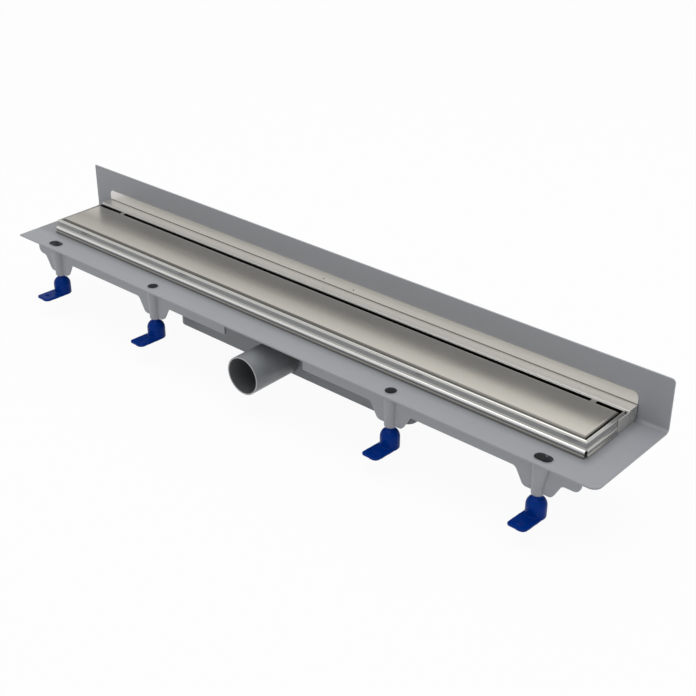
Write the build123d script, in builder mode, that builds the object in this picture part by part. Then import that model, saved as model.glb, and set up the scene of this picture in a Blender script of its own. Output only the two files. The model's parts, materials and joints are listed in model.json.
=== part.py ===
from build123d import *
import os

os.makedirs("parts", exist_ok=True)

# Linear shower drain for a wall, in millimetres
# X runs along the wall from the middle of the steel frame, Y = 0 is the wall, Z = 0 is the floor

# Moulded body
body_length = 950
body_depth = 145
body_wall = 2
body_shift = 4                # the moulding reaches further to the right than to the left
top_height = 74               # top of the flange above the floor
upstand_height = 64
upstand_bend = 6              # outer radius where the flange turns up the wall
flange_corner = 10
upstand_corner = 5
front_edge = -body_depth
body_left = body_shift - body_length / 2
body_right = body_shift + body_length / 2

# Screw bosses and the ribs that join them
boss_near = 202
boss_end_inset = 72           # from half the body's length to the outer bosses
boss_far = body_length / 2 - boss_end_inset
boss_setback = 14.2           # boss axis behind the front edge
boss_top_radius = 8.8
boss_low_radius = 7.2
boss_tip_radius = 5
boss_tip_round = 2.4          # height of the rounded tip
boss_gap = 2.6                # from the foot's dome up to the boss
lobe_root = 4                 # the outer bosses' side lobes end this far above the rounded tip
lobe_root_radius = 6.4
rib_wall = 3
rib_depth = 23.3
rib_end_gap = 25              # from the end of the flange to the end of the rib
rib_corner = 8
wing_rise = 3.5               # the wings end this far above the bosses
wing_top = 29                 # half width where the wing leaves the rib
wing_tip = 18                 # half width at its lower edge
wing_bend = 7
wing_corner = 7
notch_half = 67               # the rib stops short of the outlet
boss_hollow_depth = 30
boss_hollow_taper = 1.6       # wall left at the hollow's floor
brace_depth = 14
brace_wall = 2
access_radius = 7.1
access_slot = 21.7            # length of the outer holes along X
access_rim_wall = 1.2
access_rim_height = 0.4
rear_row = -16
front_row = front_edge + boss_setback
boss_places = (-boss_far, -boss_near, boss_near, boss_far)

# Steel frame
sheet = 1.2
bend = 0.4                    # inner radius of each tight fold
rim_bend = 1.3                # inner radius of the rim's outer fold
frame_end_inset = 36.6        # from half the body's length to half the frame's
frame_half = body_length / 2 - frame_end_inset
frame_shift = 0.8             # frame's middle to the right of the bosses' middle
frame_setback = 42.9          # from the flange's front edge
frame_front = front_edge + frame_setback
frame_rear = -20.2
frame_height = 19             # rim above the flange
rim_width = 4.2
lip_width = 3.6
lip_side_width = 1.8
lip_height = 9.2
lip_bend = 1.4                # inner radius of the front lip's fold
lip_side_bend = 0.5
lip_gap = 0.4                 # between the side lips and the cheeks
hem_height = 3                # the lip's lower edge is folded back on itself
shelf_width = 6
shelf_height = 4.7            # top of the shelf above the flange
frame_left = frame_shift - frame_half
frame_right = frame_shift + frame_half

# Channel under the cover
channel_inset = 13.4          # from half the frame's length
channel_half = frame_half - channel_inset
channel_front_inset = 7.1     # from the frame
channel_rear_inset = 5.3
channel_depth = 14.4          # at the middle
channel_end_depth = 9.5
channel_flat_half = 212
inlet_place = 125             # trap openings each side of the outlet
inlet_length = 84
inlet_width = 42
channel_front = frame_front + channel_front_inset
channel_rear = frame_rear - channel_rear_inset

# Trap under the channel
trap_half = 200
trap_front_inset = 2          # from the channel
trap_rear_inset = 1.5
trap_wall = 2
trap_corner = 13
trap_bottom = 6.6             # clear height above the floor
trap_edge = 1
weir_place = 40
weir_wall = 2
weir_gap = 16                 # from the weir's crest to the trap's top
outlet_radius = 25
outlet_wall = 1.8
outlet_length = 75            # from the trap's front to the open end
outlet_step = 0.2             # the outlet's underside above the trap's
trap_front = channel_front + trap_front_inset
trap_rear = channel_rear - trap_rear_inset
outlet_rim = trap_front - outlet_length

# Trap insert, seal and hair strainer
insert_wall = 1.8
insert_clearance = 0.6
insert_drop = 42              # length of the dip tube below its collar
seal_width = 5
seal_height = 1.5
strainer_wall = 1.2
strainer_depth = 9
strainer_clearance = 0.3
strainer_slots = 9
strainer_slot_wide = 3
strainer_slot_long = 24
strainer_slot_pitch = 7.5
strainer_rim_gap = 1.5
handle_width = 16
handle_height = 12
handle_hole = 3
handle_hole_rise = 7.2

# Steel strip between the frame and the wall
strip_gap = 0.4
strip_rise = 14.9
strip_side_gap = 0.3          # cheeks clear of the frame
upright_left_inset = 10.3
upright_right_inset = 0.3
upright_corner_radius = 6
cheek_reach = 21.4            # the cheeks lap the frame's sides
cheek_rear = -3.4
cheek_cut = 5
cheek_gap = 0.3               # clear of the flange
strip_front = frame_rear + strip_gap
strip_left = frame_left - strip_side_gap - sheet
strip_right = frame_right + strip_side_gap + sheet
strip_half = (strip_right - strip_left) / 2
cheek_front = frame_rear - cheek_reach
lip_rear = cheek_front - lip_gap

# Cover plate
cover_left_gap = 0.9
cover_right_gap = 1.5
cover_front_gap = 1
cover_rear_gap = 4.8
cover_rise = 0.7              # above the frame's rim
cover_bend = 3
cover_corner_slit = 0.8
tab_wide = 7
tab_left_inset = 49.5
tab_right_inset = 32.5
tab_gap = 1                   # clear of the frame

# Levelling feet
screw_radius = 4
screw_clearance = 0.25
screw_pin_radius = 3
screw_sink = 10               # screw's top below the flange
screw_shoulder_gap = 0.1      # thread's lower end below the boss
screw_slot_wide = 1.4
screw_slot_deep = 2.2
socket_floor = 8
socket_clearance = 0.3
foot_radius = 11.8
foot_neck_radius = 5.2
foot_neck_gap = 0.4           # below the boss
foot_dome_start = 14
foot_dome_rise = 10.4
foot_turn = 3                 # degrees that the lugs point to the left of straight ahead
foot_lug_length = 36
foot_lug_wall = 3.2
foot_lug_corner = 7
foot_lug_tip = 3.5
foot_dish_place = 26
foot_dish_long = 8
foot_dish_wide = 4.4
foot_dish_depth = 1.8

channel_middle = (channel_front + channel_rear) / 2
channel_width = channel_rear - channel_front
trap_top = top_height - channel_depth - body_wall
trap_middle = (trap_front + trap_rear) / 2
channel_floor = top_height - channel_depth
frame_inner_left = frame_left + rim_width
frame_inner_right = frame_right - rim_width
frame_inner_front = frame_front + rim_width
frame_inner_rear = frame_rear - rim_width
frame_middle = (frame_front + frame_rear) / 2
rim_top = top_height + frame_height
shelf_top = top_height + shelf_height
lip_top = top_height + lip_height
cover_top = rim_top + cover_rise
cover_left = frame_inner_left + cover_left_gap
cover_right = frame_inner_right - cover_right_gap
cover_front = frame_inner_front + cover_front_gap
cover_rear = frame_inner_rear - cover_rear_gap
outlet_middle = trap_bottom + outlet_radius + outlet_step
foot_dome_top = foot_dome_start + foot_dome_rise
boss_bottom = foot_dome_top + boss_gap
boss_side_bottom = boss_bottom + boss_tip_round
wing_bottom = boss_bottom + wing_rise
boss_side_top = top_height - body_wall / 2
boss_hollow_floor = top_height - boss_hollow_depth
boss_slope = (boss_top_radius - boss_low_radius) / (boss_side_top - boss_side_bottom)
boss_hollow_radius = boss_low_radius + boss_slope * (boss_hollow_floor - boss_side_bottom) - boss_hollow_taper
lobe_reach = access_slot - 2 * access_radius
lobe_bottom = boss_side_bottom + lobe_root
lobe_share = (boss_hollow_floor - lobe_bottom) / (boss_side_top - lobe_bottom)
lobe_hollow_radius = lobe_root_radius + lobe_share * (boss_top_radius - lobe_root_radius) - boss_hollow_taper
screw_bore = screw_radius + screw_clearance
screw_top = top_height - screw_sink
screw_shoulder = boss_bottom - screw_shoulder_gap
foot_neck_top = boss_bottom - foot_neck_gap


# Flange and upstand in one fold, with the channel, ribs and bosses moulded on
with BuildPart() as drain_body:
    with BuildSketch(Plane.YZ.offset(body_left)):
        with BuildLine():
            Polyline(
                (front_edge, top_height - body_wall),
                (0, top_height - body_wall),
                (0, top_height + upstand_height),
                (-body_wall, top_height + upstand_height),
                (-body_wall, top_height),
                (front_edge, top_height),
                close=True,
            )
        make_face()
    extrude(amount=body_length)
    outer_turn = drain_body.edges().filter_by(Axis.X)
    outer_turn = outer_turn.sort_by_distance((body_shift, 0, top_height - body_wall))[0]
    fillet(outer_turn, upstand_bend)
    inner_turn = drain_body.edges().filter_by(Axis.X)
    inner_turn = inner_turn.sort_by_distance((body_shift, -body_wall, top_height))[0]
    fillet(inner_turn, upstand_bend - body_wall)
    flange_end = drain_body.edges().filter_by(Axis.Z)
    flange_end = flange_end.sort_by_distance((body_right, front_edge, top_height))[0]
    fillet(flange_end, flange_corner)
    upstand_end = drain_body.edges().filter_by(Axis.Y)
    upstand_end = upstand_end.sort_by_distance((body_right, 0, top_height + upstand_height))[0]
    fillet(upstand_end, upstand_corner)

    # Channel, solid at first
    with BuildSketch(Plane.XZ.offset(-channel_rear - body_wall)):
        with BuildLine():
            Polyline(
                (-channel_half - body_wall, top_height - body_wall / 2),
                (-channel_half - body_wall, top_height - channel_end_depth - body_wall),
                (-channel_flat_half, trap_top),
                (channel_flat_half, trap_top),
                (channel_half + body_wall, top_height - channel_end_depth - body_wall),
                (channel_half + body_wall, top_height - body_wall / 2),
                close=True,
            )
        make_face()
    extrude(amount=channel_width + 2 * body_wall)

    # Two long ribs with a wing at each boss, open over the outlet
    for row in (front_row, rear_row):
        with BuildSketch(Plane.XZ.offset(-row - rib_wall / 2)) as rib:
            with Locations((body_shift, top_height - (body_wall + rib_depth) / 2)):
                Rectangle(body_length - 2 * rib_end_gap, rib_depth - body_wall)
            for place in boss_places:
                with BuildLine():
                    Polyline(
                        (place - wing_top, top_height - rib_depth),
                        (place - wing_tip, wing_bottom),
                        (place + wing_tip, wing_bottom),
                        (place + wing_top, top_height - rib_depth),
                        close=True,
                    )
                make_face()
            if row == front_row:
                with Locations((0, top_height - rib_depth / 2)):
                    Rectangle(2 * notch_half, rib_depth, mode=Mode.SUBTRACT)
            low = rib.vertices().filter_by(lambda spot: abs(spot.Y - wing_bottom) < 0.01)
            fillet(low, wing_corner)
            level = rib.vertices().filter_by(lambda spot: abs(spot.Y - top_height + rib_depth) < 0.01)
            ends = level.sort_by(Axis.X)
            inside = ends[1:-1].filter_by(lambda spot: abs(spot.X) > notch_half + 1)
            fillet(inside, wing_bend)
            level = rib.vertices().filter_by(lambda spot: abs(spot.Y - top_height + rib_depth) < 0.01)
            outside = level.sort_by(Axis.X)
            fillet([outside[0], outside[-1]], rib_corner)
        extrude(amount=rib_wall)

    # Bosses, tapered downwards to a rounded tip
    for row in (front_row, rear_row):
        for place in boss_places:
            with BuildSketch(Plane.XZ.offset(-row)):
                with BuildLine():
                    Line((place, boss_bottom), (place, boss_side_top))
                    Line((place, boss_side_top), (place + boss_top_radius, boss_side_top))
                    Line((place + boss_top_radius, boss_side_top), (place + boss_low_radius, boss_side_bottom))
                    RadiusArc(
                        (place + boss_low_radius, boss_side_bottom),
                        (place + boss_tip_radius, boss_bottom),
                        boss_tip_round,
                    )
                    Line((place + boss_tip_radius, boss_bottom), (place, boss_bottom))
                make_face()
            revolve(axis=Axis((place, row, 0), (0, 0, 1)))

    # Side lobes that close the outer bosses below their long holes
    for row in (front_row, rear_row):
        for place, reach in ((-boss_far, -lobe_reach), (boss_far, lobe_reach)):
            with BuildSketch(Plane.XY.offset(lobe_bottom)):
                with Locations((place, row)):
                    Circle(lobe_root_radius)
            with BuildSketch(Plane.XY.offset(boss_side_top)):
                with Locations((place + reach, row)):
                    Circle(boss_top_radius)
            loft()

    # Braces from the bosses to the channel
    front_brace = channel_front - front_row
    rear_brace = rear_row - channel_rear
    with BuildSketch(Plane.XY.offset(top_height - body_wall / 2)):
        for place in boss_places:
            with Locations((place, front_row + front_brace / 2)):
                Rectangle(brace_wall, front_brace)
            with Locations((place, rear_row - rear_brace / 2)):
                Rectangle(brace_wall, rear_brace)
    extrude(amount=-brace_depth)

    # Raised rims round the front row's screw access holes
    with BuildSketch(Plane.XY.offset(top_height)):
        for place in boss_places:
            outer = abs(place) == boss_far
            shift = (access_slot / 2 - access_radius) * (1 if place > 0 else -1) if outer else 0
            with Locations((place + shift, front_row)):
                if outer:
                    SlotOverall(access_slot + 2 * access_rim_wall, 2 * (access_radius + access_rim_wall))
                else:
                    Circle(access_radius + access_rim_wall)
    extrude(amount=access_rim_height)

    # Channel hollow
    with BuildSketch(Plane.XZ.offset(-channel_rear)):
        with BuildLine():
            Polyline(
                (-channel_half, top_height + body_wall),
                (-channel_half, top_height - channel_end_depth),
                (-channel_flat_half, channel_floor),
                (channel_flat_half, channel_floor),
                (channel_half, top_height - channel_end_depth),
                (channel_half, top_height + body_wall),
                close=True,
            )
        make_face()
    extrude(amount=channel_width, mode=Mode.SUBTRACT)

    # Trap openings in the channel floor
    with BuildSketch(Plane.XY.offset(channel_floor)):
        with Locations((-inlet_place, channel_middle), (inlet_place, channel_middle)):
            SlotOverall(inlet_length, inlet_width)
    extrude(amount=-body_wall, mode=Mode.SUBTRACT)

    # Access holes, boss hollows and screw bores
    for row in (front_row, rear_row):
        for place in boss_places:
            outer = abs(place) == boss_far
            shift = (access_slot / 2 - access_radius) * (1 if place > 0 else -1) if outer else 0
            with BuildSketch(Plane.XY.offset(top_height + access_rim_height)):
                with Locations((place + shift, row)):
                    if outer:
                        SlotOverall(access_slot, 2 * access_radius)
                    else:
                        Circle(access_radius)
            extrude(amount=-access_rim_height - body_wall, mode=Mode.SUBTRACT)
            if outer:
                with BuildSketch(Plane.XY.offset(boss_hollow_floor)):
                    with Locations((place + 2 * shift * lobe_share, row)):
                        Circle(lobe_hollow_radius)
                with BuildSketch(Plane.XY.offset(top_height - body_wall)):
                    with Locations((place + 2 * shift, row)):
                        Circle(access_radius)
                loft(mode=Mode.SUBTRACT)
            with Locations((place, row, boss_hollow_floor)):
                Cone(
                    boss_hollow_radius,
                    access_radius,
                    boss_hollow_depth - body_wall,
                    align=(Align.CENTER, Align.CENTER, Align.MIN),
                    mode=Mode.SUBTRACT,
                )
            with BuildSketch(Plane.XY.offset(boss_hollow_floor)):
                with Locations((place, row)):
                    Circle(screw_bore)
            extrude(amount=-boss_hollow_floor, mode=Mode.SUBTRACT)
drain_body.part.label = "drain_body"
export_step(drain_body.part, "parts/drain_body.step")

# Trap housing with its two weirs and the outlet spigot
with BuildPart() as trap_housing:
    with BuildSketch(Plane.XY.offset(trap_bottom)):
        with Locations((0, trap_middle)):
            RectangleRounded(2 * trap_half, trap_rear - trap_front, trap_corner)
    extrude(amount=trap_top - trap_bottom)
    fillet(trap_housing.faces().sort_by(Axis.Z)[0].edges(), trap_edge)
    with BuildSketch(Plane.XZ.offset(-trap_front)):
        with Locations((0, outlet_middle)):
            Circle(outlet_radius)
    extrude(amount=outlet_length)
    with BuildSketch(Plane.XY.offset(trap_bottom + trap_wall)):
        with Locations((0, trap_middle)):
            RectangleRounded(
                2 * (trap_half - trap_wall),
                trap_rear - trap_front - 2 * trap_wall,
                trap_corner - trap_wall,
            )
    extrude(amount=trap_top - trap_bottom - trap_wall, mode=Mode.SUBTRACT)
    with BuildSketch(Plane.XY.offset(trap_bottom + trap_wall / 2)):
        with Locations((-weir_place, trap_middle), (weir_place, trap_middle)):
            Rectangle(weir_wall, trap_rear - trap_front - trap_wall)
    extrude(amount=trap_top - weir_gap - trap_bottom - trap_wall / 2)
    with BuildSketch(Plane.XZ.offset(-trap_front - trap_wall)):
        with Locations((0, outlet_middle)):
            Circle(outlet_radius - outlet_wall)
    extrude(amount=outlet_length + trap_wall, mode=Mode.SUBTRACT)
trap_housing.part.label = "trap_housing"
export_step(trap_housing.part, "parts/trap_housing.step")

# Trap insert, its seal and the strainer over it, one set each side of the outlet
dip_length = inlet_length - 2 * insert_clearance
dip_width = inlet_width - 2 * insert_clearance
bore_length = dip_length - 2 * insert_wall
bore_width = dip_width - 2 * insert_wall
collar_length = inlet_length + 2 * seal_width
collar_width = inlet_width + 2 * seal_width
collar_bottom = channel_floor + seal_height
collar_top = collar_bottom + insert_wall
basket_length = bore_length - 2 * strainer_clearance
basket_width = bore_width - 2 * strainer_clearance

for side, place in (("left", -inlet_place), ("right", inlet_place)):
    with BuildPart() as trap_seal:
        with BuildSketch(Plane.XY.offset(channel_floor)):
            with Locations((place, channel_middle)):
                SlotOverall(collar_length, collar_width)
                SlotOverall(inlet_length, inlet_width, mode=Mode.SUBTRACT)
        extrude(amount=seal_height)
    trap_seal.part.label = side + "_trap_seal"
    export_step(trap_seal.part, "parts/" + side + "_trap_seal.step")

    with BuildPart() as trap_insert:
        with BuildSketch(Plane.XY.offset(collar_bottom)):
            with Locations((place, channel_middle)):
                SlotOverall(collar_length, collar_width)
        extrude(amount=insert_wall)
        with BuildSketch(Plane.XY.offset(collar_bottom)):
            with Locations((place, channel_middle)):
                SlotOverall(dip_length, dip_width)
        extrude(amount=-insert_drop)
        with BuildSketch(Plane.XY.offset(collar_top)):
            with Locations((place, channel_middle)):
                SlotOverall(bore_length, bore_width)
        extrude(amount=-insert_drop - insert_wall, mode=Mode.SUBTRACT)
    trap_insert.part.label = side + "_trap_insert"
    export_step(trap_insert.part, "parts/" + side + "_trap_insert.step")

    with BuildPart() as hair_strainer:
        with BuildSketch(Plane.XY.offset(collar_top)):
            with Locations((place, channel_middle)):
                SlotOverall(collar_length - 2 * strainer_rim_gap, collar_width - 2 * strainer_rim_gap)
        extrude(amount=strainer_wall)
        with BuildSketch(Plane.XY.offset(collar_top)):
            with Locations((place, channel_middle)):
                SlotOverall(basket_length, basket_width)
        extrude(amount=-strainer_depth)
        with BuildSketch(Plane.XY.offset(collar_top + strainer_wall)):
            with Locations((place, channel_middle)):
                SlotOverall(basket_length - 2 * strainer_wall, basket_width - 2 * strainer_wall)
        extrude(amount=-strainer_depth, mode=Mode.SUBTRACT)
        with BuildSketch(Plane.XY.offset(collar_top - strainer_depth)):
            with Locations((place, channel_middle)):
                with GridLocations(strainer_slot_pitch, 0, strainer_slots, 1):
                    Rectangle(strainer_slot_wide, strainer_slot_long)
        extrude(amount=strainer_wall, mode=Mode.SUBTRACT)
        with BuildSketch(Plane.XZ.offset(-channel_middle - strainer_wall / 2)):
            with Locations((place, collar_top - strainer_depth + strainer_wall)):
                Rectangle(handle_width, handle_height, align=(Align.CENTER, Align.MIN))
            with Locations((place, collar_top - strainer_depth + strainer_wall + handle_hole_rise)):
                Circle(handle_hole, mode=Mode.SUBTRACT)
        extrude(amount=strainer_wall)
    hair_strainer.part.label = side + "_hair_strainer"
    export_step(hair_strainer.part, "parts/" + side + "_hair_strainer.step")

# Steel frame: one folded section swept round, mitred at the corners
with BuildPart() as steel_frame:
    with BuildSketch(Plane.XZ.offset(-frame_middle)) as frame_section:
        with BuildLine() as frame_fold:
            FilletPolyline(
                (frame_left, lip_top - sheet),
                (frame_left, rim_top),
                (frame_inner_left, rim_top),
                (frame_inner_left, shelf_top),
                (frame_inner_left + shelf_width, shelf_top),
                radius=(rim_bend + sheet, bend + sheet, bend),
            )
            offset(amount=sheet, side=Side.RIGHT)
        make_face()
    with BuildLine() as frame_path:
        Polyline(
            (frame_left, frame_middle, top_height),
            (frame_left, frame_front, top_height),
            (frame_right, frame_front, top_height),
            (frame_right, frame_rear, top_height),
            (frame_left, frame_rear, top_height),
            close=True,
        )
    sweep(transition=Transition.RIGHT)

    # Stepped lip along the front and the sides, hemmed where it stands on the flange
    with BuildSketch(Plane.YZ.offset(frame_left)):
        with BuildLine():
            FilletPolyline(
                (frame_front - lip_width, top_height),
                (frame_front - lip_width, lip_top),
                (frame_front + sheet, lip_top),
                radius=lip_bend + sheet,
            )
            offset(amount=sheet, side=Side.RIGHT)
        make_face()
        with Locations((frame_front - lip_width, top_height)):
            Rectangle(2 * sheet, hem_height, align=(Align.CENTER, Align.MIN))
    extrude(amount=2 * frame_half)
    with BuildSketch(Plane.XZ.offset(-lip_rear)):
        with BuildLine():
            FilletPolyline(
                (frame_left - lip_side_width, top_height),
                (frame_left - lip_side_width, lip_top),
                (frame_left + sheet, lip_top),
                radius=lip_side_bend + sheet,
            )
            offset(amount=sheet, side=Side.RIGHT)
        make_face()
        with Locations((frame_left - lip_side_width, top_height)):
            Rectangle(2 * sheet, hem_height, align=(Align.CENTER, Align.MIN))
        mirror(about=Plane.YZ.offset(frame_shift))
    extrude(amount=lip_rear - frame_front)

    # Rear wall down to the flange, and no shelf there so that water runs past
    with BuildSketch(Plane.XY.offset(top_height)):
        with Locations((frame_shift, frame_rear - sheet / 2)):
            Rectangle(2 * frame_half, sheet)
    extrude(amount=frame_height - 2 * sheet)
    with BuildSketch(Plane.XY.offset(shelf_top)):
        with Locations((frame_shift, frame_inner_rear)):
            Rectangle(
                frame_inner_right - frame_inner_left - 2 * shelf_width,
                2 * shelf_width,
                align=(Align.CENTER, Align.MAX),
            )
    extrude(amount=-2 * sheet, mode=Mode.SUBTRACT)
steel_frame.part.label = "steel_frame"
export_step(steel_frame.part, "parts/steel_frame.step")

# Wall strip: one folded sheet with a leg, a ledge, an upright and two cheeks
with BuildPart() as wall_strip:
    with BuildSketch(Plane.YZ.offset(strip_left)):
        with BuildLine():
            FilletPolyline(
                (strip_front, top_height),
                (strip_front, rim_top),
                (-body_wall - sheet, rim_top),
                (-body_wall - sheet, rim_top + strip_rise),
                radius=(bend + sheet, bend),
            )
            offset(amount=sheet, side=Side.RIGHT)
        make_face()
    extrude(amount=2 * strip_half)
    with BuildSketch(Plane.XZ.offset(body_wall)):
        with Locations((strip_left, rim_top + sheet)):
            Rectangle(2 * upright_left_inset, 2 * strip_rise, align=(Align.CENTER, Align.MIN))
        with Locations((strip_right, rim_top + sheet)):
            Rectangle(2 * upright_right_inset, 2 * strip_rise, align=(Align.CENTER, Align.MIN))
    extrude(amount=2 * sheet, mode=Mode.SUBTRACT)
    upright_corner = wall_strip.edges().filter_by(Axis.Y)
    upright_corner = upright_corner.sort_by_distance((strip_right, -body_wall, rim_top + strip_rise))[0]
    fillet(upright_corner, upright_corner_radius)
    with BuildSketch(Plane.YZ.offset(strip_left)):
        with BuildLine():
            Polyline(
                (cheek_front, top_height + cheek_gap),
                (cheek_rear - cheek_cut, top_height + cheek_gap),
                (cheek_rear, top_height + cheek_gap + cheek_cut),
                (cheek_rear, rim_top - bend),
                (strip_front + sheet, rim_top - bend),
                (strip_front + sheet, rim_top - sheet - bend),
                (cheek_front, rim_top - sheet - bend),
                close=True,
            )
        make_face()
    extrude(amount=sheet)
    mirror(about=Plane.YZ.offset(frame_shift))
wall_strip.part.label = "wall_strip"
export_step(wall_strip.part, "parts/wall_strip.step")

# Cover plate: a shallow folded tray, open below, with two tabs that keep the slot even
cover_middle = (cover_left + cover_right) / 2
with BuildPart() as cover_plate:
    with BuildSketch(Plane.XY.offset(shelf_top)):
        with Locations((cover_middle, (cover_front + cover_rear) / 2)):
            Rectangle(cover_right - cover_left, cover_rear - cover_front)
    extrude(amount=cover_top - shelf_top)
    fillet(cover_plate.faces().sort_by(Axis.Z)[-1].edges(), cover_bend)
    offset(amount=-sheet, openings=cover_plate.faces().sort_by(Axis.Z)[0])
    with BuildSketch(Plane.XY.offset(shelf_top)):
        with Locations((cover_middle, (cover_front + cover_rear) / 2)):
            with GridLocations(cover_right - cover_left, cover_rear - cover_front, 2, 2):
                Rectangle(2 * cover_corner_slit, 2 * cover_corner_slit)
    extrude(amount=cover_top - shelf_top - cover_bend, mode=Mode.SUBTRACT)
    with BuildSketch(Plane.XY.offset(cover_top)):
        with Locations((cover_left + tab_left_inset, cover_rear), (cover_right - tab_right_inset, cover_rear)):
            Rectangle(tab_wide, 2 * (cover_rear_gap - tab_gap))
    extrude(amount=-sheet)
cover_plate.part.label = "cover_plate"
export_step(cover_plate.part, "parts/cover_plate.step")

# Levelling screws with a plain pin at the lower end, and the feet that turn on them
for row_name, row in (("front", front_row), ("rear", rear_row)):
    for number, place in enumerate(boss_places, start=1):
        with BuildPart() as screw:
            with BuildSketch(Plane.XZ.offset(-row)):
                with BuildLine():
                    Polyline(
                        (place, socket_floor + socket_clearance),
                        (place + screw_pin_radius, socket_floor + socket_clearance),
                        (place + screw_pin_radius, screw_shoulder),
                        (place + screw_radius, screw_shoulder),
                        (place + screw_radius, screw_top),
                        (place, screw_top),
                        close=True,
                    )
                make_face()
            revolve(axis=Axis((place, row, 0), (0, 0, 1)))
            with BuildSketch(Plane.XY.offset(screw_top)):
                with Locations((place, row)):
                    Rectangle(2 * screw_radius + screw_slot_wide, screw_slot_wide)
            extrude(amount=-screw_slot_deep, mode=Mode.SUBTRACT)
        screw_name = row_name + "_screw_" + str(number)
        screw.part.label = screw_name
        export_step(screw.part, "parts/" + screw_name + ".step")

        with BuildPart() as foot:
            with BuildSketch():
                with Locations(Location((place, row), -foot_turn)):
                    with Locations((0, -foot_lug_length)):
                        Rectangle(2 * foot_radius, foot_lug_length, align=(Align.CENTER, Align.MIN))
            extrude(amount=foot_lug_wall)
            lug_corners = foot.edges().filter_by(Axis.Z).sort_by(Axis.Y)[:2].sort_by(Axis.X)
            fillet(lug_corners[0], foot_lug_tip)
            fillet(lug_corners[1], foot_lug_corner)
            with BuildSketch(Plane.XZ.offset(-row)):
                with BuildLine():
                    Line((place, 0), (place + foot_radius, 0))
                    Line((place + foot_radius, 0), (place + foot_radius, foot_dome_start))
                    RadiusArc(
                        (place + foot_radius, foot_dome_start),
                        (place + foot_neck_radius, foot_dome_top),
                        -foot_radius,
                    )
                    Line((place + foot_neck_radius, foot_dome_top), (place + foot_neck_radius, foot_neck_top))
                    Line((place + foot_neck_radius, foot_neck_top), (place, foot_neck_top))
                    Line((place, foot_neck_top), (place, 0))
                make_face()
            revolve(axis=Axis((place, row, 0), (0, 0, 1)))
            with BuildSketch(Plane.XY.offset(socket_floor)):
                with Locations((place, row)):
                    Circle(screw_pin_radius + socket_clearance)
            extrude(amount=foot_neck_top - socket_floor, mode=Mode.SUBTRACT)
            with BuildSketch(Plane.XY.offset(foot_lug_wall)):
                with Locations(Location((place, row), -foot_turn)):
                    with Locations((0, -foot_dish_place)):
                        SlotOverall(foot_dish_long, foot_dish_wide)
            extrude(amount=-foot_dish_depth, mode=Mode.SUBTRACT)
        foot_name = row_name + "_foot_" + str(number)
        foot.part.label = foot_name
        export_step(foot.part, "parts/" + foot_name + ".step")
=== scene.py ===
import json
import math

import bmesh
import bpy
from mathutils import Matrix, Vector


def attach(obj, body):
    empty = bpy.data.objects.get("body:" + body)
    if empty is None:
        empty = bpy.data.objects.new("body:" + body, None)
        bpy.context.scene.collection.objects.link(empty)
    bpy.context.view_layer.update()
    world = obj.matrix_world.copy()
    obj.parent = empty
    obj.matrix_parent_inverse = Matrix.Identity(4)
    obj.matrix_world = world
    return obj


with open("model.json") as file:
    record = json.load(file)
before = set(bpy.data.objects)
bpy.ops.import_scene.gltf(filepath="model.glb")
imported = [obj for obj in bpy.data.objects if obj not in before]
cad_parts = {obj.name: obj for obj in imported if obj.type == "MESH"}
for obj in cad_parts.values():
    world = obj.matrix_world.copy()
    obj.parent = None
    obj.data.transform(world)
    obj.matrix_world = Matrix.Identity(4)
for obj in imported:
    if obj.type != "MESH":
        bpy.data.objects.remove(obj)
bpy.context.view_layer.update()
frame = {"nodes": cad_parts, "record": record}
nodes = frame["nodes"]
scene = bpy.context.scene


# Shader maths: an expression on values adds the Math nodes

class Value:
    def __init__(self, bench, socket):
        self.bench = bench
        self.socket = socket

    def __add__(self, other):
        return self.bench.maths("ADD", self, other)

    def __radd__(self, other):
        return self.bench.maths("ADD", other, self)

    def __sub__(self, other):
        return self.bench.maths("SUBTRACT", self, other)

    def __rsub__(self, other):
        return self.bench.maths("SUBTRACT", other, self)

    def __mul__(self, other):
        return self.bench.maths("MULTIPLY", self, other)

    def __abs__(self):
        return self.bench.maths("ABSOLUTE", self)

    def __lt__(self, other):
        return self.bench.maths("LESS_THAN", self, other)

    def __gt__(self, other):
        return self.bench.maths("GREATER_THAN", self, other)


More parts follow.
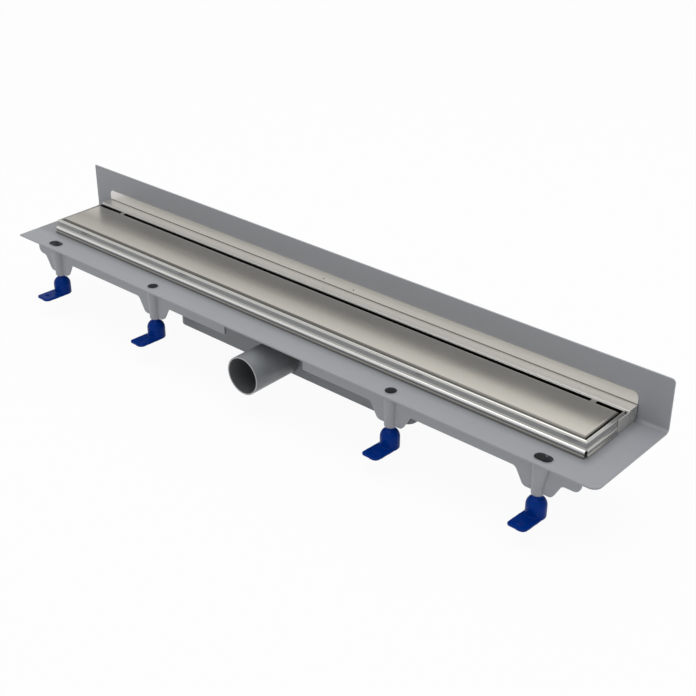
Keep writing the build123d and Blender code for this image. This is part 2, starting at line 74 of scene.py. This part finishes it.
class Bench:
    def __init__(self, name):
        self.material = bpy.data.materials.new(name)
        self.material.use_nodes = True
        self.tree = self.material.node_tree
        self.tree.nodes.clear()
        self.place = self.node("ShaderNodeTexCoord")["Object"]

    def node(self, kind, settings=None, inputs=None):
        made = self.tree.nodes.new(kind)
        for key, value in (settings or {}).items():
            setattr(made, key, value)
        for key, value in (inputs or {}).items():
            if isinstance(value, Value):
                self.tree.links.new(value.socket, made.inputs[key])
            else:
                made.inputs[key].default_value = value
        return {out.name: Value(self, out) for out in made.outputs if out.enabled}

    def maths(self, operation, *values):
        settings = {"operation": operation}
        return self.node("ShaderNodeMath", settings, dict(enumerate(values)))["Value"]

    def axes(self):
        parts = self.node("ShaderNodeSeparateXYZ", None, {"Vector": self.place})
        return parts["X"], parts["Y"], parts["Z"]

    def least(self, first, second):
        return self.maths("MINIMUM", first, second)

    def most(self, first, second):
        return self.maths("MAXIMUM", first, second)

    def clamped(self, value):
        return self.node("ShaderNodeClamp", None, {"Value": value})["Result"]

    def stretch(self, scale):
        inputs = {"Vector": self.place, "Scale": scale}
        return self.node("ShaderNodeMapping", None, inputs)["Vector"]

    def noise(self, vector, scale, detail=2.0, rough=0.5):
        inputs = {"Vector": vector, "Scale": scale, "Detail": detail, "Roughness": rough}
        return self.node("ShaderNodeTexNoise", None, inputs)["Fac"]

    def span(self, value, low, high, start, end):
        inputs = {
            "Value": value,
            "From Min": low,
            "From Max": high,
            "To Min": start,
            "To Max": end,
        }
        return self.node("ShaderNodeMapRange", None, inputs)["Result"]

    def tint(self, factor, first, second):
        inputs = {0: factor}
        for socket, shade in ((6, first), (7, second)):  # the Mix node's two colour sockets
            inputs[socket] = shade if isinstance(shade, Value) else (*shade, 1)
        return self.node("ShaderNodeMix", {"data_type": "RGBA"}, inputs)["Result"]

    def bump(self, height, strength, distance):
        inputs = {"Height": height, "Strength": strength, "Distance": distance}
        return self.node("ShaderNodeBump", None, inputs)["Normal"]

    def finish(self, **inputs):
        named = {key.replace("_", " "): value for key, value in inputs.items()}
        for key, value in named.items():
            if isinstance(value, tuple) and len(value) == 3:
                named[key] = (*value, 1)
        surface = self.node("ShaderNodeBsdfPrincipled", None, named)["BSDF"]
        self.node("ShaderNodeOutputMaterial", None, {"Surface": surface})
        return self.material


# Moulded grey plastic of the body: fine grain, faint flow marks, painted shade down the screw holes
greyLook = {
    "colour": (0.330, 0.343, 0.368),
    "lighter": (0.378, 0.391, 0.418),
    "flowStretch": (1.0, 5.0, 5.0),
    "flow": (7.0, 3.0),
    "flowShare": 0.6,
    "flowBump": 0.2,
    "cloud": (38.0, 4.0, 0.6),
    "cloudShare": 0.5,
    "grain": (2600, 2.0),
    "rough": 0.42,
    "cloudRough": 0.18,
    "grainRough": 0.06,
    "bump": (0.12, 0.0004),
}
# Painted shade down the screw holes: round at the inner bosses, a slanted slot outwards at the
# outer ones
holeLook = {
    "shade": (0.115, 0.120, 0.130),
    "bosses": (0.202, 0.403),
    "rows": (-0.1308, -0.016),
    "radius": 0.00735,
    "lobeSkin": 0.001,
    "lobeLow": (0.0334, 0.0, 0.0064),    # height, shift and radius at the slot's foot
    "lobeHigh": (0.0730, 0.0075, 0.0088),
    "top": 0.0738,
    "floor": 0.0436,
}
# Painted shade on the flange along the frame's front foot
footShadeLook = {
    "front": -0.1072,
    "reach": 0.011,
    "right": 0.4424,
    "low": 0.0735,
    "high": 0.0765,
    "depth": 0.42,
    "shade": (0.16, 0.165, 0.175),
}


def within(aside, along, radius):
    return aside * aside + along * along < radius * radius


def screwHoleShade(bench):
    across, deep, high = bench.axes()
    fromMiddle = abs(across)
    front, rear = holeLook["rows"]
    near, far = holeLook["bosses"]
    toRow = bench.least(abs(deep - front), abs(deep - rear))
    toBoss = bench.least(abs(fromMiddle - near), abs(fromMiddle - far))
    inside = within(toBoss, toRow, holeLook["radius"])
    lowHeight, lowShift, lowRadius = holeLook["lobeLow"]
    highHeight, highShift, highRadius = holeLook["lobeHigh"]
    shift = bench.span(high, lowHeight, highHeight, lowShift, highShift)
    outer = bench.span(high, lowHeight, highHeight, lowRadius, highRadius)
    radius = outer - holeLook["lobeSkin"]
    inLobe = within(fromMiddle - far - shift, toRow, radius)
    below = (high < holeLook["top"]) * (high > holeLook["floor"])
    return below * bench.most(inside, inLobe)


def frameFootShade(bench):
    across, deep, high = bench.axes()
    front, right = footShadeLook["front"], footShadeLook["right"]
    ahead = bench.span(deep, front - footShadeLook["reach"], front, 0.0, 1.0)
    beside = bench.span(across, right, right + footShadeLook["reach"], 1.0, 0.0)
    return ahead * beside * (high > footShadeLook["low"]) * (high < footShadeLook["high"])


def greyPlastic():
    bench = Bench("greyPlastic")
    flow = bench.noise(bench.stretch(greyLook["flowStretch"]), *greyLook["flow"])
    cloud = bench.noise(bench.place, *greyLook["cloud"])
    grain = bench.noise(bench.place, *greyLook["grain"])
    blend = bench.clamped(flow * greyLook["flowShare"] + cloud * greyLook["cloudShare"])
    plain = bench.tint(blend, greyLook["colour"], greyLook["lighter"])
    # Painted shade on the flange along the frame's front foot
    shaded = bench.tint(frameFootShade(bench) * footShadeLook["depth"], plain, footShadeLook["shade"])
    # Painted shade down the screw holes
    colour = bench.tint(screwHoleShade(bench), shaded, holeLook["shade"])
    rough = greyLook["rough"] + (cloud - 0.5) * greyLook["cloudRough"]
    rough = rough + (grain - 0.5) * greyLook["grainRough"]
    normal = bench.bump(grain + flow * greyLook["flowBump"], *greyLook["bump"])
    return bench.finish(Base_Color=colour, Roughness=rough, Normal=normal)


# Trap and outlet: the body's grey painted darker as shade under the flange, with a painted
# highlight on the cut mouth, painted shade down the bore and a painted shadow on the outlet near
# the trap
shadedTrapLook = {
    "colour": (0.205, 0.218, 0.230),
    "lighter": (0.250, 0.263, 0.276),
    "boreShade": (0.130, 0.134, 0.142),
    "mouthHighlight": (0.42, 0.43, 0.44),
    "boreHeight": 0.0318,
    "boreRadius": 0.0236,
    "boreEnd": -0.0935,
    "boreDepth": 0.9,
    "rootStart": -0.135,
    "rootEnd": -0.108,
    "rootDepth": 0.8,
    "rootShade": (0.075, 0.077, 0.082),
    "mouthPlace": -0.16785,
    "cloud": (30.0, 4.0, 0.6),
    "grain": (2200.0, 2.0),
    "rough": 0.42,
    "cloudRough": 0.2,
    "bump": (0.1, 0.0004),
}


def shadedTrapPlastic():
    bench = Bench("trapPlastic")
    across, deep, high = bench.axes()
    cloud = bench.noise(bench.place, *shadedTrapLook["cloud"])
    grain = bench.noise(bench.place, *shadedTrapLook["grain"])
    # Base colour darker than the body's grey: painted shade under the flange
    colour = bench.tint(cloud, shadedTrapLook["colour"], shadedTrapLook["lighter"])
    outside = deep < shadedTrapLook["boreEnd"]
    # Painted shade down the bore
    bore = within(across, high - shadedTrapLook["boreHeight"], shadedTrapLook["boreRadius"]) * outside
    colour = bench.tint(bore * shadedTrapLook["boreDepth"], colour, shadedTrapLook["boreShade"])
    # Painted shadow on the outlet, deepening towards the trap
    start, end = shadedTrapLook["rootStart"], shadedTrapLook["rootEnd"]
    root = bench.span(deep, start, end, 0.0, shadedTrapLook["rootDepth"]) * outside
    colour = bench.tint(root, colour, shadedTrapLook["rootShade"])
    # Painted highlight on the pipe's cut mouth
    colour = bench.tint(deep < shadedTrapLook["mouthPlace"], colour, shadedTrapLook["mouthHighlight"])
    rough = shadedTrapLook["rough"] + (cloud - 0.5) * shadedTrapLook["cloudRough"]
    normal = bench.bump(grain, *shadedTrapLook["bump"])
    return bench.finish(Base_Color=colour, Roughness=rough, Normal=normal)


# Brushed stainless steel: hairlines along the length, across on the frame's mitred sides
coverLook = {
    "colour": (0.532, 0.506, 0.450),
    "lighter": (0.582, 0.555, 0.496),
    "rough": 0.21,
    "bump": 0.07,
}
frameLook = {
    "colour": (0.565, 0.557, 0.530),
    "lighter": (0.635, 0.627, 0.600),
    "rough": 0.19,
    "bump": 0.06,
}
stripLook = {
    "colour": (0.725, 0.708, 0.680),
    "lighter": (0.790, 0.774, 0.746),
    "rough": 0.40,
    "bump": 0.05,
}
brushing = {
    "along": (5.0, 1300.0, 1300.0),
    "turned": (1300.0, 5.0, 1300.0),
    "hairs": (1.0, 3.0, 0.6),
    "smudge": (14.0, 3.0, 0.55),
    "hairShare": 0.6,
    "smudgeShare": 0.4,
    "hairRough": 0.10,
    "smudgeRough": 0.06,
    "bumpDistance": 0.0002,
}
frameLines = {
    "middle": 0.0008,
    "half": 0.4384,
    "front": -0.1021,
    "rear": -0.0202,
    "seam": 0.00016,
    "reach": 0.0075,
    "depth": 0.7,
    "shade": (0.2, 0.2, 0.19),
}
foldShade = {
    "start": -0.0929,
    "end": -0.0946,
    "rightStart": 0.4312,
    "rightEnd": 0.4330,
    "leftStart": -0.4300,
    "leftEnd": -0.4320,
    "leftGain": 0.5,
    "depth": 0.92,
    "shade": (0.13, 0.126, 0.116),
}
coverLightLook = {
    "left": -0.15,
    "right": 0.42,
    "depth": 0.8,
    "shade": (0.335, 0.318, 0.285),
    "middle": -0.066,
    "rear": -0.036,
    "front": -0.090,
    "rearGain": 0.55,
    "frontGain": 0.25,
    "bright": (0.80, 0.765, 0.70),
}
stripCreaseShade = {
    "crease": -0.0037,
    "creaseTop": 0.0941,
    "lineFront": -0.0193,
    "lineRear": -0.0184,
    "creaseDepth": 0.85,
    "lineDepth": 0.5,
    "shade": (0.13, 0.128, 0.122),
}
hemShade = {
    "top": 0.0800,
    "front": -0.1048,
    "ledge": 0.0770,
    "skip": 0.0003,
    "depth": 0.8,
    "shade": (0.27, 0.265, 0.255),
}
slotShade = {"front": -0.0262, "rear": -0.0236, "top": 0.09285, "shade": (0.02, 0.02, 0.02)}
lipHighlight = {"front": -0.1022, "low": 0.0800, "high": 0.0838, "shade": (0.80, 0.795, 0.78)}
leftShade = {"place": -0.4330, "depth": 0.75, "shade": (0.26, 0.255, 0.24)}
punchMarks = {
    "places": (-0.0157, 0.0347),
    "height": 0.0982,
    "radius": 0.0011,
    "shade": (0.16, 0.155, 0.15),
}


def frameSeamsAndPaintedLight(bench, colour, fromEnd, fromSide, onSide):
    across, deep, high = bench.axes()
    seam = abs(fromEnd - fromSide) < frameLines["seam"]
    corner = fromEnd < frameLines["reach"]
    colour = bench.tint(seam * corner * frameLines["depth"], colour, frameLines["shade"])
    # Painted shade on the lip's lower face and hem; the hem's top face is left out
    offLedge = abs(high - hemShade["ledge"]) > hemShade["skip"]
    hem = offLedge * (high < hemShade["top"]) * (deep < hemShade["front"])
    colour = bench.tint(hem * hemShade["depth"], colour, hemShade["shade"])
    # Painted shade, near black, on the frame's wall inside the rear slot
    slotWall = (deep > slotShade["front"]) * (deep < slotShade["rear"])
    colour = bench.tint(slotWall * (high < slotShade["top"]), colour, slotShade["shade"])
    # Painted highlight along the lip's top fold
    lip = (deep < lipHighlight["front"]) * (high > lipHighlight["low"]) * (high < lipHighlight["high"])
    colour = bench.tint(lip, colour, lipHighlight["shade"])
    # Painted shade on the frame's left rail
    leftRail = (across < leftShade["place"]) * onSide
    return bench.tint(leftRail * leftShade["depth"], colour, leftShade["shade"])


def coverPaintedLight(bench, colour):
    across, deep, high = bench.axes()
    # Painted shade: the cover darker towards its left end
    deeper = bench.span(across, coverLightLook["right"], coverLightLook["left"], 0.0, 1.0)
    colour = bench.tint(deeper * coverLightLook["depth"], colour, coverLightLook["shade"])
    # Painted highlight: the cover lighter towards its front and its rear
    middle = coverLightLook["middle"]
    toRear = bench.span(deep, middle, coverLightLook["rear"], 0.0, coverLightLook["rearGain"])
    toFront = bench.span(deep, middle, coverLightLook["front"], 0.0, coverLightLook["frontGain"])
    colour = bench.tint(bench.most(toRear, toFront), colour, coverLightLook["bright"])
    # Painted shade on the cover's front fold and its right and left folds, half as deep at the left
    front = bench.span(deep, foldShade["start"], foldShade["end"], 0.0, 1.0)
    right = bench.span(across, foldShade["rightStart"], foldShade["rightEnd"], 0.0, 1.0)
    leftStart, leftEnd = foldShade["leftStart"], foldShade["leftEnd"]
    left = bench.span(across, leftStart, leftEnd, 0.0, foldShade["leftGain"])
    fold = bench.most(front, bench.most(right, left)) * foldShade["depth"]
    return bench.tint(fold, colour, foldShade["shade"])


def stripMarksAndPaintedShade(bench, colour):
    across, deep, high = bench.axes()
    first, second = punchMarks["places"]
    aside = bench.least(abs(across - first), abs(across - second))
    mark = within(aside, high - punchMarks["height"], punchMarks["radius"])
    colour = bench.tint(mark, colour, punchMarks["shade"])
    # Painted shade in the crease between ledge and upright and along the strip's front fold by the
    # frame's rim
    crease = (deep > stripCreaseShade["crease"]) * (high < stripCreaseShade["creaseTop"])
    line = (deep > stripCreaseShade["lineFront"]) * (deep < stripCreaseShade["lineRear"])
    dark = bench.most(crease * stripCreaseShade["creaseDepth"], line * stripCreaseShade["lineDepth"])
    return bench.tint(dark, colour, stripCreaseShade["shade"])


def brushedSteel(name, look, place):
    bench = Bench(name)
    across, deep, high = bench.axes()
    hairs = bench.noise(bench.stretch(brushing["along"]), *brushing["hairs"])
    if place == "frame":
        fromEnd = frameLines["half"] - abs(across - frameLines["middle"])
        fromSide = bench.least(deep - frameLines["front"], frameLines["rear"] - deep)
        onSide = fromEnd < fromSide
        turned = bench.noise(bench.stretch(brushing["turned"]), *brushing["hairs"])
        hairs = hairs + (turned - hairs) * onSide
    smudge = bench.noise(bench.place, *brushing["smudge"])
    blend = bench.clamped(hairs * brushing["hairShare"] + smudge * brushing["smudgeShare"])
    colour = bench.tint(blend, look["colour"], look["lighter"])
    if place == "frame":
        colour = frameSeamsAndPaintedLight(bench, colour, fromEnd, fromSide, onSide)
    if place == "cover":
        colour = coverPaintedLight(bench, colour)
    if place == "strip":
        colour = stripMarksAndPaintedShade(bench, colour)
    rough = look["rough"] + (hairs - 0.5) * brushing["hairRough"]
    rough = rough + (smudge - 0.5) * brushing["smudgeRough"]
    normal = bench.bump(hairs, look["bump"], brushing["bumpDistance"])
    return bench.finish(Base_Color=colour, Metallic=1.0, Roughness=rough, Normal=normal)


# Small parts: blue feet, zinc-plated screws, rubber rings and black inserts
blueLook = {
    "colour": (0.0, 0.024, 0.200),
    "lighter": (0.0, 0.040, 0.300),
    "cloud": (60.0, 3.0),
    "grain": (1500.0, 2.0),
    "rough": 0.24,
    "cloudRough": 0.1,
    "gloss": 0.07,
    "bump": (0.06, 0.0003),
}
zincLook = {
    "colour": (0.42, 0.43, 0.44),
    "lighter": (0.56, 0.57, 0.58),
    "cloud": (160.0, 4.0),
    "rough": 0.30,
    "cloudRough": 0.2,
}
rubberLook = {
    "colour": (0.012, 0.012, 0.013),
    "lighter": (0.025, 0.025, 0.027),
    "grain": (900.0, 3.0),
    "rough": 0.7,
    "grainRough": 0.1,
}
insertLook = {
    "colour": (0.030, 0.031, 0.034),
    "lighter": (0.050, 0.051, 0.055),
    "cloud": (50.0, 3.0),
    "grain": (1800.0, 2.0),
    "rough": 0.5,
    "cloudRough": 0.1,
    "bump": (0.1, 0.0003),
}


def bluePlastic():
    bench = Bench("bluePlastic")
    cloud = bench.noise(bench.place, *blueLook["cloud"])
    grain = bench.noise(bench.place, *blueLook["grain"])
    return bench.finish(
        Base_Color=bench.tint(cloud, blueLook["colour"], blueLook["lighter"]),
        Roughness=blueLook["rough"] + (cloud - 0.5) * blueLook["cloudRough"],
        Specular_IOR_Level=blueLook["gloss"],
        Normal=bench.bump(grain, *blueLook["bump"]),
    )


def zincSteel():
    bench = Bench("zincSteel")
    cloud = bench.noise(bench.place, *zincLook["cloud"])
    return bench.finish(
        Base_Color=bench.tint(cloud, zincLook["colour"], zincLook["lighter"]),
        Metallic=1.0,
        Roughness=zincLook["rough"] + (cloud - 0.5) * zincLook["cloudRough"],
    )


def sealRubber():
    bench = Bench("sealRubber")
    grain = bench.noise(bench.place, *rubberLook["grain"])
    return bench.finish(
        Base_Color=bench.tint(grain, rubberLook["colour"], rubberLook["lighter"]),
        Roughness=rubberLook["rough"] + (grain - 0.5) * rubberLook["grainRough"],
    )


def insertPlastic():
    bench = Bench("insertPlastic")
    cloud = bench.noise(bench.place, *insertLook["cloud"])
    grain = bench.noise(bench.place, *insertLook["grain"])
    return bench.finish(
        Base_Color=bench.tint(cloud, insertLook["colour"], insertLook["lighter"]),
        Roughness=insertLook["rough"] + (cloud - 0.5) * insertLook["cloudRough"],
        Normal=bench.bump(grain, *insertLook["bump"]),
    )


print("stage: finishes")
finishes = {
    "grey_plastic": greyPlastic(),
    "dark_plastic": shadedTrapPlastic(),
    "insert_plastic": insertPlastic(),
    "seal_rubber": sealRubber(),
    "stainless": brushedSteel("frameSteel", frameLook, "frame"),
    "screw_steel": zincSteel(),
    "blue_plastic": bluePlastic(),
}
ownFinish = {
    "cover_plate": brushedSteel("coverSteel", coverLook, "cover"),
    "wall_strip": brushedSteel("stripSteel", stripLook, "strip"),
}
for part in frame["record"]["subparts"]:
    held = nodes[part["node"]]
    held.data.materials.clear()
    held.data.materials.append(ownFinish.get(part["node"], finishes[part["material_slot"]]))


# The feet are moulded: their edges are rounded and the lug runs into the dome
print("stage: feet")
footMould = {"voxel": 0.0006, "rounds": 8, "strength": 0.5, "keep": 0.16}


def softenFoot(foot):
    mould = foot.modifiers.new("mould", "REMESH")
    mould.mode = "VOXEL"
    mould.voxel_size = footMould["voxel"]
    mould.use_smooth_shade = True
    rounding = foot.modifiers.new("rounding", "SMOOTH")
    rounding.iterations = footMould["rounds"]
    rounding.factor = footMould["strength"]
    thinning = foot.modifiers.new("thinning", "DECIMATE")
    thinning.ratio = footMould["keep"]


for row in ("front", "rear"):
    for place in range(1, 5):
        softenFoot(nodes[f"{row}_foot_{place}"])


# The levelling screws carry a thread, seen when a foot is let down
print("stage: threads")
threadLook = {
    "pitch": 0.0015,
    "turns": 22,
    "steps": 16,       # per turn
    "ridge": 0.0003,
    "reach": 0.00392,
    "start": 0.0280,
}


def screwThread(name, across, deep):
    mesh = bpy.data.meshes.new(name)
    shape = bmesh.new()
    upright = Matrix.Rotation(math.pi / 2, 4, "X") @ Matrix.Rotation(-math.pi / 2, 4, "Z")
    placed = Matrix.Translation((across + threadLook["reach"], deep, threadLook["start"])) @ upright
    made = bmesh.ops.create_circle(shape, segments=3, radius=threadLook["ridge"], matrix=placed)
    bmesh.ops.spin(
        shape,
        geom=made["verts"] + shape.edges[:],
        cent=(across, deep, 0),
        axis=(0, 0, 1),
        dvec=(0, 0, threadLook["pitch"] / threadLook["steps"]),
        angle=2 * math.pi * threadLook["turns"],
        steps=threadLook["steps"] * threadLook["turns"],
    )
    bmesh.ops.holes_fill(shape, edges=[edge for edge in shape.edges if edge.is_boundary])
    bmesh.ops.recalc_face_normals(shape, faces=shape.faces)
    shape.to_mesh(mesh)
    shape.free()
    mesh.materials.append(finishes["screw_steel"])
    thread = bpy.data.objects.new(name, mesh)
    scene.collection.objects.link(thread)
    return thread


near, far = holeLook["bosses"]
for row, deep in zip(("front", "rear"), holeLook["rows"]):
    for place, across in enumerate((-far, -near, near, far), start=1):
        thread = screwThread(f"{row}_thread_{place}", across, deep)
        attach(thread, f"{row}_screw_{place}_body")


# Floor, light and camera
print("stage: studio")
studio = {
    "floorSize": 14.0,
    "floorColour": (0.96, 0.96, 0.96),
    "floorDrop": 0.0262,     # under the feet when they are let down
    "floorWhite": 0.94,
    "sky": 0.496,
    "skySeen": 1.0,
    "skyMirrored": 0.8,
    "lamps": {
        "overheadLamp": {"place": (0.1, -0.1, 2.6), "size": 3.2, "power": 30.0},
        "rearLamp": {"place": (-1.0, 2.0, 1.75), "size": 3.4, "power": 4.8},
    },
}


def paleFloor():
    mesh = bpy.data.meshes.new("floor")
    shape = bmesh.new()
    bmesh.ops.create_grid(shape, x_segments=2, y_segments=2, size=studio["floorSize"] / 2)
    bmesh.ops.translate(shape, verts=shape.verts, vec=(0, 0, -studio["floorDrop"]))
    shape.to_mesh(mesh)
    shape.free()
    floor = bpy.data.objects.new("floor", mesh)
    scene.collection.objects.link(floor)
    bench = Bench("paleFloor")
    rays = bench.node("ShaderNodeLightPath")
    seen = bench.clamped(rays["Is Camera Ray"] + rays["Is Glossy Ray"])
    shade = {"Color": (*studio["floorColour"], 1)}
    glow = {"Color": (1, 1, 1, 1), "Strength": 1.0}
    diffuse = bench.node("ShaderNodeBsdfDiffuse", None, shade)["BSDF"]
    white = bench.node("ShaderNodeEmission", None, glow)["Emission"]
    blend = {0: seen * studio["floorWhite"], 1: diffuse, 2: white}
    mixed = bench.node("ShaderNodeMixShader", None, blend)["Shader"]
    bench.node("ShaderNodeOutputMaterial", None, {"Surface": mixed})
    mesh.materials.append(bench.material)


def skyLight():
    world = bpy.data.worlds.new("studioSky")
    scene.world = world
    world.use_nodes = True
    tree = world.node_tree
    tree.nodes.clear()
    rays = tree.nodes.new("ShaderNodeLightPath")
    strength = studio["sky"]
    for ray, level in (("Is Glossy Ray", "skyMirrored"), ("Is Camera Ray", "skySeen")):
        raised = tree.nodes.new("ShaderNodeMath")
        raised.operation = "MULTIPLY_ADD"
        tree.links.new(rays.outputs[ray], raised.inputs[0])
        raised.inputs[1].default_value = studio[level] - studio["sky"]
        if isinstance(strength, float):
            raised.inputs[2].default_value = strength
        else:
            tree.links.new(strength, raised.inputs[2])
        strength = raised.outputs[0]
    light = tree.nodes.new("ShaderNodeBackground")
    light.inputs["Color"].default_value = (1, 1, 1, 1)
    out = tree.nodes.new("ShaderNodeOutputWorld")
    tree.links.new(strength, light.inputs["Strength"])
    tree.links.new(light.outputs[0], out.inputs[0])


def softLamp(name, place, size, power):
    lamp = bpy.data.lights.new(name, "AREA")
    lamp.shape = "DISK"
    lamp.size = size
    lamp.energy = power
    holder = bpy.data.objects.new(name, lamp)
    holder.location = place
    holder.rotation_euler = (-Vector(place)).to_track_quat("-Z", "Y").to_euler()
    scene.collection.objects.link(holder)


paleFloor()
skyLight()
for lampName, lampLook in studio["lamps"].items():
    softLamp(lampName, lampLook["place"], lampLook["size"], lampLook["power"])

view = {
    "sensor": 36,
    "lens": 66.09,
    "turn": 41.345,
    "dip": 28.866,
    "place": (0.98186, -1.08997, 0.80981),
    "near": 0.01,
    "far": 50,
}
camera = bpy.data.objects.new("camera", bpy.data.cameras.new("camera"))
camera.data.sensor_width = view["sensor"]
camera.data.lens = view["lens"]
camera.location = view["place"]
camera.rotation_euler = (math.radians(90 - view["dip"]), 0, math.radians(view["turn"]))
camera.data.clip_start = view["near"]
camera.data.clip_end = view["far"]
scene.collection.objects.link(camera)
scene.camera = camera
scene.view_settings.view_transform = "Standard"
